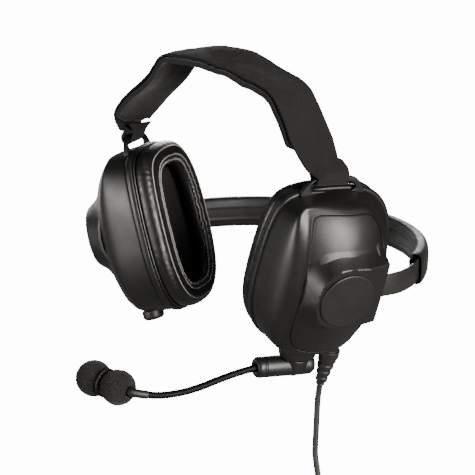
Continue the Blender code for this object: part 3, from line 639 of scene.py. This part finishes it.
def make_piping(side):
    """Fine beads on the seal's face: one along its outer seam, two along the gathered edge of the opening. Their
    light grey colour is a painted highlight on the black seams.
    """
    bm_rings = []
    for name, x, half_width, half_height, power, fill, radius, gather in (
            ("seam", 0.15, 40.6, 50.8, 2.72, 1, 0.42, 0.05),
            ("gather", -0.25, 32.2, 44.6, 3.06, 0.3, 0.42, 0.6),
            ("mouth", 0.55, 28, 41.5, 3.2, 0.3, 0.42, 0.85)):
        outline = oval(half_width, half_height, power, SEAL_SIDES, fill=fill)
        bm_rings = []
        for k, (y, z) in enumerate(outline):
            angle = 2 * math.pi * k / SEAL_SIDES
            outward = Vector((0, y, z)).normalized()
            wave = math.sin(76 * angle + 2 * noise.noise(outward * 5)) + noise.noise(outward * 23)
            middle = Vector((x - gather * 0.35 * wave, y, z)) + outward * gather * 0.5 * wave
            bm_rings.append([middle + (outward * math.cos(t) - Vector((math.sin(t), 0, 0))) * radius
                             for t in (2 * math.pi * i / 8 for i in range(8))])
        finish_mesh(loft(bm_rings, closed=True), f"{side}_seal_{name}", CUPS[side], "piping_painted_highlight", "headset",
                    sharp=80)


def make_ear_foam(side):
    """The thin foam sheet over the speaker, slightly domed and dimpled."""
    rings = []
    for step in range(15):
        share = 1 - step / 15
        ring = []
        for y, z in oval(30.6 * share, 43.6 * share, 2 + 0.7 * share, 96):
            lump = noise.noise(Vector((y, z, 0)) * 0.16) * 0.25
            ring.append((12.6 - 0.5 * (1 - share**2) + lump * (1 - share**6), y, z))
        rings.append(ring)
    back = [[(14.6, y, z) for _, y, z in ring] for ring in (rings[0], rings[7], rings[-1])]
    finish_mesh(fan_caps(back[::-1] + rings), f"{side}_ear_foam", CUPS[side], "foam", "headset",
                [f"{side}_acoustic_foam"])


def make_hanger(side):
    edge = ((-29, 52.2), (-27.5, 57), (-24, 61.8), (-19, 64.4), (4.5, 64.8), (10, 62), (14, 57), (15.5, 52),
            (14.5, 50.2), (-27, 50.2))
    slot = ((-22.6, 54.8), (6, 54.8), (8.6, 57), (6.6, 60.4), (2.8, 61.7), (-21.6, 61.7), (-23.2, 59.4))
    stands = Matrix(((0, 0, 1, 18.4), (1, 0, 0, 0), (0, 1, 0, 0), (0, 0, 0, 1)))
    edges = [rounded(edge, 3.5, 5), rounded(slot, 1.1, 3)]
    outline_plate(f"{side}_hanger_loop", edges, 2.8, CUPS[side] @ stands, "moulded_plastic", "headset",
                  [f"{side}_strap_hanger"])


# ---------------------------------------------------------------- boom, relief and plug of the cups

def stadium(half_length, half_width):
    straight = half_length - half_width
    points = []
    for end, start in ((1, -math.pi / 2), (-1, math.pi / 2)):
        for step in range(15):
            angle = start + math.pi * step / 14
            points.append((end * straight + half_width * math.cos(angle), half_width * math.sin(angle)))
    return points


def make_boom_block():
    """The fixed mount under the cup: a flat stadium with rolled edges."""
    rings = []
    for height, grow in ((-50, 0), (-57.2, 0), (-58.2, -0.25), (-58.75, -0.8), (-58.9, -1.6),
                         (-58.9, -4.5)):
        rings.append([(29 + v, -8 + u, height) for u, v in stadium(12.5 + grow, 8.5 + grow)])
    finish_mesh(fan_caps(rings), "boom_mount", CUPS["left"], "moulded_plastic", "headset", ["boom_block"])


def make_barrel():
    """The swivelling housing: a long barrel along the cup's Y, with the turret that meets the mount."""
    pivot = CUPS["left"] @ Matrix.Translation((29, -8, -66.3))
    along = Matrix(((1, 0, 0, 0), (0, 0, 1, 0), (0, -1, 0, 0), (0, 0, 0, 1)))
    barrel = [(2, 13.6), (3.6, 13.6), (5.4, 12.7), (6.4, 11.2), (6.8, 9.2), (6.8, -21.6), (6.45, -21.9),
              (6.45, -22.9),
              (6.8, -23.2), (6.8, -25.6), (6.3, -27), (5.2, -28), (3.1, -28), (2.6, -27), (2.4, -24)]
    rings = lathe(soften(barrel, 0.5, 3), 56, along)
    turret = lathe(soften([(5, 7.1), (7.9, 7.1), (8.3, 6.7), (8.3, -2), (7.6, -3), (5, -3.4)], 0.4), 56)
    bm = fan_caps(rings)
    extra = fan_caps(turret)
    mesh = bpy.data.meshes.new("turret")
    extra.to_mesh(mesh)
    extra.free()
    bm.from_mesh(mesh)
    bpy.data.meshes.remove(mesh)
    finish_mesh(bm, "boom_housing", pivot, "moulded_plastic", "boom", ["boom_barrel"])


GOOSENECK = ((44.6, -16.4, -181.8), (40.5, -29, -183.5), (36.5, -41, -186), (33.3, -54, -188.5),
             (30.2, -67, -190),
             (26.2, -78, -190.5), (22.6, -84.5, -190.3), (19.5, -89, -189.6))
MIC_NEAR = Vector((2.4, -97, -187.4))
MIC_FAR = Vector((-18.1, -97, -186.5))
COIL_PITCH = 1.55


def make_gooseneck():
    """One spiral-wound tube, bending between the boom and the microphone."""
    line = route(GOOSENECK, 0.3)
    length = sum((b - a).length for a, b in zip(line, line[1:]))
    turns = length / COIL_PITCH

    def wound(share, angle):
        return 2.22 + 0.13 * math.cos(2 * math.pi * turns * share - angle)

    neck = finish_mesh(pipe(line, wound, 18), "gooseneck", TO_METRES, "blackened_steel", None,
                       ["gooseneck_rear", "gooseneck_front"], sharp=80)
    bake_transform(neck)


def make_microphone():
    axis = (MIC_FAR - MIC_NEAR).normalized()
    end = Vector(GOOSENECK[-1])
    back = (end - Vector(GOOSENECK[-2])).normalized()
    line = route([end - back * 0.3, end + back * 3.8, MIC_NEAR - axis * 10.5, MIC_NEAR - axis * 6.0], 0.8)
    finish_mesh(pipe(line, lambda share, _: 2.7 - 0.35 * max(0, 1 - share / 0.05) ** 2, 28), "mic_sleeve",
                TO_METRES,
                "cap_plastic", "mic", ["mic_ferrule"])

    turn = axis.to_track_quat("Z", "Y").to_matrix().to_4x4()
    matrix = TO_METRES @ Matrix.Translation(MIC_NEAR) @ turn
    outline = [(0.6, 31.8)]
    for middle, radius, first, last in ((20.5, 11.3, 6, 142), (-0.2, 11, 38, 157)):
        for step in range(19):
            angle = math.radians(first + (last - first) * step / 18)
            outline.append((radius * math.sin(angle), middle + radius * math.cos(angle)))
    outline += [(4, -9.8), (3.6, -8.4), (3.4, -7.2)]
    rings = []
    for r, h in soften(outline, 0.5, 2):
        ring = []
        for k in range(96):
            angle = 2 * math.pi * k / 96
            way = Vector((math.cos(angle), math.sin(angle), 0))
            spot = way * r + UP * h
            rough = 0.28 * noise.noise(spot * 0.9) + 0.12 * noise.noise(spot * 2.6)
            ring.append(spot + way * rough * min(1, r / 4))
        rings.append(ring)
    screen = finish_mesh(fan_caps(rings), "mic_windscreen", matrix, "foam", "mic", ["windscreen"], sharp=80)
    angles = [2 * math.pi * i / 16 for i in range(16)]
    ring = [(8.55 + 0.75 * math.cos(a), 10.1 + 0.75 * math.sin(a)) for a in angles]
    finish_mesh(loft(lathe(ring, 72), closed=True), "mic_waist_ring", matrix, "rubber", "mic",
                ["windscreen_ring"])


def make_relief():
    """The tapered, ribbed strain relief under the left cup."""
    profile = [(5.2, -49.4), (5.2, -51.5), (6.8, -51.5), (6.8, -56.5)]
    for index in range(4):
        radius = 6.0 - 0.7 * index
        top = -57.5 - 5.1 * index
        profile += [(radius, top), (radius, top - 2.8), (radius - 1.2, top - 3.2),
                    (radius - 1.2, top - 4.6)]
    profile += [(3.2, -78.3), (2, -78.3)]
    matrix = CUPS["left"] @ Matrix.Translation((35, 11.5, 0))
    finish_mesh(fan_caps(lathe(soften(profile, 0.5, 3), 48)), "cord_relief", matrix, "rubber", "headset",
                ["cable_relief"])


def make_port_plug():
    """The blanking plug under the right cup, with a shallow round recess in its end."""
    profile = [(4, -49.4), (6, -49.4), (6, -52), (7.2, -52.3), (7.2, -56.4), (6.6, -57.6), (5.6, -58.5),
               (4.2, -58.6),
               (3.9, -58.1), (1.5, -58)]
    matrix = CUPS["right"] @ Matrix.Translation((34, -12, 0))
    finish_mesh(fan_caps(lathe(soften(profile, 0.4, 3), 48)), "port_stopper", matrix, "cap_plastic",
                "headset", ["port_plug"])


# ---------------------------------------------------------------- neckband, millimetres in its own frame

BAND_TILT = 2.6
BAND_RADIUS = 102.5
BAND_CENTRE_Y = 41.9
SLEEVE_FROM = 20.0
IN_MM = Matrix.Scale(1000, 4)
CUP_TO_MM = IN_MM @ CUPS["left"]
BAND_ORIGIN = CUP_TO_MM @ Vector((52, PIVOT_Y, 0))
BAND = TO_METRES @ Matrix.Translation((0, BAND_ORIGIN.y, BAND_ORIGIN.z))
BAND = BAND @ Matrix.Rotation(math.radians(BAND_TILT), 4, "X")
CUP_TO_BAND = (TO_METRES @ Matrix.Translation((0, BAND_ORIGIN.y, BAND_ORIGIN.z))
               @ Matrix.Rotation(math.radians(BAND_TILT), 4, "X")).inverted() @ CUPS["left"]


def arc(radius, start, end, count):
    angles = [math.radians(start + (end - start) * i / count) for i in range(count + 1)]
    return [Vector((radius * math.cos(a), BAND_CENTRE_Y + radius * math.sin(a), 0)) for a in angles]


def mirrored(quarter):
    return quarter + [Vector((-p.x, p.y, p.z)) for p in reversed(quarter[:-1])]


def make_neckband():
    eye = [CUP_TO_BAND @ Vector(p) for p in ((52, PIVOT_Y - 7.5, 0), (52, PIVOT_Y, 0), (50.3, 12, 0.2))]
    free = [Vector((101.4, 29.5, 0)), Vector((105, 46.5, 0)), Vector((103, 63, 0))]
    line = mirrored(route([*eye, *free, *arc(BAND_RADIUS + 1.2, SLEEVE_FROM - 1, 90, 9)], 2.5))
    up_cup = CUP_TO_BAND.to_3x3() @ Vector((0, 0, 1))
    up_cup.normalize()
    rings = []
    for i, point in enumerate(line):
        ahead = (line[min(i + 1, len(line) - 1)] - line[max(i - 1, 0)]).normalized()
        turn = clamped((point.y - 8) / 36) if abs(point.x) > 80 else 1.0
        lean = up_cup.lerp(UP, turn)
        side = Vector((math.copysign(lean.x, point.x * up_cup.x), lean.y, lean.z)).normalized()
        out = side.cross(ahead).normalized()
        section = [(-0.75, 6.4), (-0.35, 7.2), (0.35, 7.2), (0.75, 6.4), (0.75, -6.4), (0.35, -7.2),
                   (-0.35, -7.2), (-0.75, -6.4)]
        rings.append([point + out * u + side * v for u, v in section])
    finish_mesh(fan_caps(rings), "band_strip", BAND, "strip", "neckband", ["band_spring"],
                sharp=50)

    section = []
    for u, v in oval(4.75, 10.5, 3.4, 72):
        ridge = sum(math.exp(-((v - at) / 0.9) ** 2) for at in (-4.6, 0, 4.6)) if u < 0 else 0
        section.append((u - 0.55 * ridge, v, 1))
    rings = []
    stations = arc(BAND_RADIUS, SLEEVE_FROM, 180 - SLEEVE_FROM, 150)
    for i, centre in enumerate(stations):
        outward = (centre - Vector((0, BAND_CENTRE_Y, 0))).normalized()
        near = min(i, len(stations) - 1 - i)
        shrink = {0: 0.93, 1: 0.985}.get(near, 1)
        ring = [centre + outward * u * shrink + UP * v * (1 - (1 - shrink) * 0.4) for u, v, _ in section]
        rings.append(ring)
    inner = []
    for i, centre in reversed(list(enumerate(stations))):
        outward = (centre - Vector((0, BAND_CENTRE_Y, 0))).normalized()
        flare = max(0, 1 - min(i, len(stations) - 1 - i) / 8)
        hollow = oval(2.6 + 1.15 * flare**0.5, 8.3 + 1.1 * flare**0.5, 3.4, 72)
        inner.append([centre + outward * u + UP * v for u, v in hollow])
    finish_mesh(loft(rings + inner, closed=True), "band_grip", BAND, "rubber", "neckband", ["band_sleeve"],
                sharp=50)

    ends = (CUP_TO_BAND @ Vector((50, 14, 0.2)), *free)
    beside = [p.lerp(Vector((0, p.y, p.z)), 2.7 / abs(p.x)) for p in ends]
    wire = mirrored(route([*beside, *arc(BAND_RADIUS - 1.6, SLEEVE_FROM - 1, 90, 9)], 3))
    finish_mesh(pipe(wire, 0.8, 12), "band_wire", BAND, "rubber", "neckband", ["crossover_wire"])


# ---------------------------------------------------------------- head strap, millimetres in the row frame

STRAP_ROUTE = (
    (-84.5, -3, -47.5), (-83.5, -2, -39.5), (-73.5, 1, -26.5), (-59.2, 3, -12.4), (-48.6, 3.5, 2.2),
    (-38, 3.5, 5.6), (-20, 3.5, 6.4), (-5, 3.5, 5.8), (10, 3.5, 3), (28, 3.5, -2), (43, 3.3, -7.8),
    (51.5, 3, -15.8), (60, 2, -27.8), (69, -1, -39), (77, -3, -47.5),
)
WEBBING_NARROW = 21.0
WEBBING_WIDE = 31.0
STRAP_TAIL = {"left": ((8.5, 65.4), (12.8, 64.4), (15.4, 62.2)),
              "right": ((10.6, 70.5), (12, 66.5), (14.2, 62.8))}
HANGER_LOOP = ((16.8, 60.2), (19.4, 59.7), (21.3, 61.4), (21.6, 64), (19.8, 67), (15.4, 69))


def bar_loop(side):
    matrix = IN_MM @ CUPS[side]
    return [matrix @ Vector((x, -10.4, z)) for x, z in (*STRAP_TAIL[side], *HANGER_LOOP)]


def eased_step(value, start, end):
    share = clamped((value - start) / (end - start))
    return share * share * (3 - 2 * share)


def strap_across(point):
    """The strap's widthwise direction: along each hanger's bar at its ends, and twisted on the right run."""
    out = abs(point.x)
    if point.x > 0:
        toe = 22.4 * min(1, out / 80) ** 2
    else:
        toe = eased_step(out, 30, 54) * (30.4 * eased_step(point.z, -53, -42) - 22.4)
    toe = math.radians(toe)
    return Vector((math.sin(toe), math.cos(toe), 0.22 * (1 - min(1, out / 80)))).normalized()


def strap_width(point):
    share = clamped((86 - point.x) / 20) if point.x > 0 else eased_step(point.z, -54, -30)
    return WEBBING_NARROW + (WEBBING_WIDE - WEBBING_NARROW) * share


def band_of_cloth(line, section, dent):
    """A strap: its section is (share of half width, depth in mm towards the head); dent moves each point."""
    rings = []
    for i, point in enumerate(line):
        ahead = (line[min(i + 1, len(line) - 1)] - line[max(i - 1, 0)]).normalized()
        side = strap_across(point)
        side = (side - ahead * side.dot(ahead)).normalized()
        inward = side.cross(ahead).normalized()
        half = strap_width(point) / 2
        rings.append([point + side * (u * half) + inward * (v + dent(i, u, point)) for u, v in section])
    return rings


def cloth_section(half_thick, columns, extra=1.0, crown=0.0):
    """A closed section of a strip with soft edges, as (share of half width, depth)."""
    top = [(extra * (-1 + 2 * k / columns), -half_thick) for k in range(columns + 1)]
    bottom = [(u, -v) for u, v in reversed(top)]
    section = [(u, v - crown * (1 - u * u)) for u, v in top] + [(extra * 1.012, 0)]
    section += [(u, v + crown * (1 - u * u)) for u, v in bottom] + [(-extra * 1.012, 0)]
    return section


def make_strap():
    right, left = bar_loop("right"), bar_loop("left")
    line = route([*right, *[Vector(p) for p in STRAP_ROUTE], *reversed(left)], 1.6)

    def wrinkle(_, u, point):
        slow = noise.noise(Vector((point.x * 0.05, u * 0.9, 1.7)))
        quick = noise.noise(Vector((point.x * 0.16, u * 2.2, 4)))
        calm = clamped((74 - abs(point.x)) / 20)
        return calm * (1.2 * slow + 0.45 * quick)

    finish_mesh(loft(band_of_cloth(line, cloth_section(0.72, 14), wrinkle), caps=True), "strap_band",
                TO_METRES, "webbing",
                "headset", ["strap_webbing"], sharp=60)

    over = route([Vector(STRAP_ROUTE[0]).lerp(Vector(STRAP_ROUTE[1]), 0.2), *STRAP_ROUTE[1:-1]], 1.8)
    last = len(over) - 1

    def cushion(i, u, point):
        depth = 0.75 + 1.0 + 2.0
        lump = 0.5 * noise.noise(Vector((point.x * 0.09, u * 1.4, 9)))
        return depth + lump + wrinkle(i, u, point)

    rings = band_of_cloth(over, cloth_section(1.75, 14, 1.06, 0.25), cushion)
    for i, ring in enumerate(rings):
        squeeze = 1 - 0.45 * max(0, 1 - min(i, last - i) / 3) ** 2
        middle = sum((Vector(p) for p in ring), Vector()) / len(ring)
        rings[i] = [middle + (Vector(p) - middle) * squeeze for p in ring]
    pad = finish_mesh(fan_caps(rings), "strap_cushion", TO_METRES, "pad", "headset", ["strap_pad"],
                      sharp=70)


# ---------------------------------------------------------------- cord, millimetres in the row frame

CORD_DIAMETER = 4.0
CORD_ROUTE = (
    (63.5, 25.6, -197.1), (62.5, 26, -202.2), (61.8, 26.3, -208), (61.5, 26.6, -216), (61.5, 26.8, -228),
    (61.6, 26.8, -242))
HANK_TOP = -268.0
HANK_LENGTH = 92.0
HANK_BEND = 14.9
HANK_END = 17.1
PARTING_Z = -242
TURN_Z = -258
LAYER = 4.12
HANK_MIDDLE = (61.7, 26.8)


def eased(start, end, share):
    return start + (end - start) * share * share * (3 - 2 * share)


def cord_path():
    """Down from the relief into the hank: a side run, two turns a layer apart, and back in to the plug."""
    x, y = HANK_MIDDLE
    top, bottom = HANK_TOP - HANK_END, HANK_TOP - HANK_LENGTH + HANK_END
    points = [Vector(p) for p in CORD_ROUTE]
    for step in range(1, 13):
        z = PARTING_Z + (top - 12 - PARTING_Z) * step / 12
        outward = eased(0, LAYER, min(1, (PARTING_Z - z) / 23))
        aside = eased(0, -HANK_BEND, clamped((TURN_Z - z) / (TURN_Z - top + 12)))
        points.append(Vector((x + outward, y + aside, z)))
    points += [Vector((x + LAYER, y - HANK_BEND, z)) for z in (bottom + 12, bottom)]

    def bend(middle_z, start, layer):
        angles = [start + math.pi * step / 10 for step in range(1, 11)]
        return [Vector((x + layer, y + HANK_BEND * math.cos(a), middle_z + HANK_BEND * math.sin(a)))
                for a in angles]

    for layer in (LAYER, 0):
        points += bend(bottom, math.pi, layer)
        points += [Vector((x + eased(layer, layer - LAYER, t / 6), y + HANK_BEND,
                           bottom + (top - bottom) * t / 6))
                   for t in range(1, 7)]
        points += bend(top, 0, layer - LAYER)
        if layer:
            points += [Vector((x, y - HANK_BEND, top + (bottom - top) * t / 5)) for t in range(1, 6)]
    low = HANK_TOP - HANK_LENGTH
    for step in range(1, 11):
        z = top - 8 + (low - 1 - (top - 8)) * step / 10
        inward = eased(-LAYER, 0, clamped((low + 24 - z) / 24))
        points.append(Vector((x + inward, y + eased(-HANK_BEND, 0, step / 10), z)))
    return points


def make_cord():
    path = route(cord_path(), 2.4)
    cord = finish_mesh(pipe(path, CORD_DIAMETER / 2, 18), "cord_lead", TO_METRES, "cord", "headset",
                       ["cord", "cord_hank"])
    x, y = HANK_MIDDLE
    bottom = HANK_TOP - HANK_LENGTH - 0.3
    grip = [(2, 0.4), (2.7, 0), (3.2, -5), (4, -9.5), (5.4, -11), (6, -13.5)]
    for index in range(6):
        top = -15.0 - 3.0 * index
        grip += [(6, top), (5.55, top - 0.5), (5.55, top - 1.3), (6, top - 1.8)]
    grip += [(6, -34), (5, -36), (4.2, -38), (2.2, -38)]
    at = TO_METRES @ Matrix.Translation((x, y, bottom))
    plug = finish_mesh(fan_caps(lathe(soften(grip, 0.4, 3), 40)), "plug_handle", at, "rubber", "headset",
                       ["plug_grip"])
    tip = [(1.2, 0), (1.75, -0.2), (1.75, -4.6), (1.65, -4.7), (1.65, -5.1), (1.75, -5.2), (1.75, -10.2),
           (1.2, -11.1),
           (1.75, -12.4), (1.1, -13.8), (0.4, -14.2)]
    at = TO_METRES @ Matrix.Translation((x, y, bottom - 38))
    contact = finish_mesh(fan_caps(lathe(soften(tip, 0.15, 2), 32)), "plug_tip", at, "plated_contact",
                          "headset",
                          ["plug_contact"])


# ---------------------------------------------------------------- CAD nodes that stay, floor and light

def dress_cad_nodes():
    slots = {entry["node"]: entry["material_slot"] for entry in frame["record"]["subparts"]}
    for name, obj in frame["nodes"].items():
        obj.data.materials.clear()
        obj.data.materials.append(looks[slots[name]])
        if name == "hank_tie":
            bevel = obj.modifiers.new("soft edges", "BEVEL")
            bevel.width = 0.0004
            bevel.segments = 2
            bevel.limit_method = "ANGLE"


def backdrop_material(name, seen, lit):
    """White to the camera and grey to everything else, as a cut-out white background is."""
    material = bpy.data.materials.new(name)
    material.use_nodes = True
    nodes, links = material.node_tree.nodes, material.node_tree.links
    nodes.clear()
    output = nodes.new("ShaderNodeOutputMaterial")
    mix = nodes.new("ShaderNodeMixShader")
    path = nodes.new("ShaderNodeLightPath")
    matt = nodes.new("ShaderNodeBsdfDiffuse")
    matt.inputs["Color"].default_value = (lit, lit, lit, 1)
    glow = nodes.new("ShaderNodeEmission")
    glow.inputs["Color"].default_value = (1, 1, 1, 1)
    glow.inputs["Strength"].default_value = seen
    links.new(path.outputs["Is Camera Ray"], mix.inputs["Fac"])
    links.new(matt.outputs["BSDF"], mix.inputs[1])
    links.new(glow.outputs["Emission"], mix.inputs[2])
    links.new(mix.outputs["Shader"], output.inputs["Surface"])
    return material


FLOOR_Z = -0.46
FLOOR_GREY = 0.2
BACKGROUND_GLOW = 14.0
WORLD_LIGHT = 0.05


def add_stage():
    bm = bmesh.new()
    bmesh.ops.create_grid(bm, x_segments=1, y_segments=1, size=14)
    mesh = bpy.data.meshes.new("floor")
    bm.to_mesh(mesh)
    bm.free()
    floor = bpy.data.objects.new("floor", mesh)
    floor.location = (0, 0, FLOOR_Z)
    mesh.materials.append(backdrop_material("floor_white", BACKGROUND_GLOW, FLOOR_GREY))
    shelf.objects.link(floor)

    world = bpy.data.worlds.new("studio")
    bpy.context.scene.world = world
    world.use_nodes = True
    nodes, links = world.node_tree.nodes, world.node_tree.links
    path = nodes.new("ShaderNodeLightPath")
    mix = nodes.new("ShaderNodeMixShader")
    seen = nodes.new("ShaderNodeBackground")
    seen.inputs["Strength"].default_value = BACKGROUND_GLOW
    seen.inputs["Color"].default_value = (1, 1, 1, 1)
    base = nodes["Background"]
    base.inputs["Color"].default_value = (0.95, 0.97, 1.0, 1)
    base.inputs["Strength"].default_value = WORLD_LIGHT
    links.new(path.outputs["Is Camera Ray"], mix.inputs["Fac"])
    links.new(base.outputs["Background"], mix.inputs[1])
    links.new(seen.outputs["Background"], mix.inputs[2])
    links.new(mix.outputs["Shader"], nodes["World Output"].inputs["Surface"])


# name, place, size in metres, watts, colour
LIGHTS = (
    ("side_right", (1.50, -0.25, 0.20), (0.85, 0.85), 70, (1, 0.975, 0.94)),
    ("side_left", (-1.35, 0.25, -0.20), (0.8, 0.8), 6, (1, 0.985, 0.96)),
    ("front", (-0.56, -1.36, -0.18), (0.55, 0.36), 17, (1, 0.98, 0.95)),
    ("overhead", (0, -0.2, 1.35), (1.3, 1.3), 2, (1, 1, 1)),
    ("behind", (-0.85, 1.15, 0.22), (0.4, 0.16), 7, (1, 1, 1)),
)


def add_lights():
    for name, place, size, watts, colour in LIGHTS:
        data = bpy.data.lights.new(name, "AREA")
        data.shape = "RECTANGLE"
        data.size, data.size_y = size
        data.energy = watts
        data.color = colour
        light = bpy.data.objects.new(name, data)
        light.location = place
        light.rotation_euler = (Vector(place) - LOOK_AT).to_track_quat("Z", "Y").to_euler()
        light.visible_camera = False
        shelf.objects.link(light)


add_camera()
looks = make_materials()
dress_cad_nodes()
make_cord()
for cup in ("left", "right"):
    make_shell(cup)
    make_cover(cup)
    make_cap(cup)
    make_rim(cup)
    make_seal(cup)
    make_piping(cup)
    make_ear_foam(cup)
    make_hanger(cup)
make_boom_block()
make_barrel()
make_gooseneck()
make_microphone()
make_relief()
make_port_plug()
make_neckband()
make_strap()
add_stage()
add_lights()
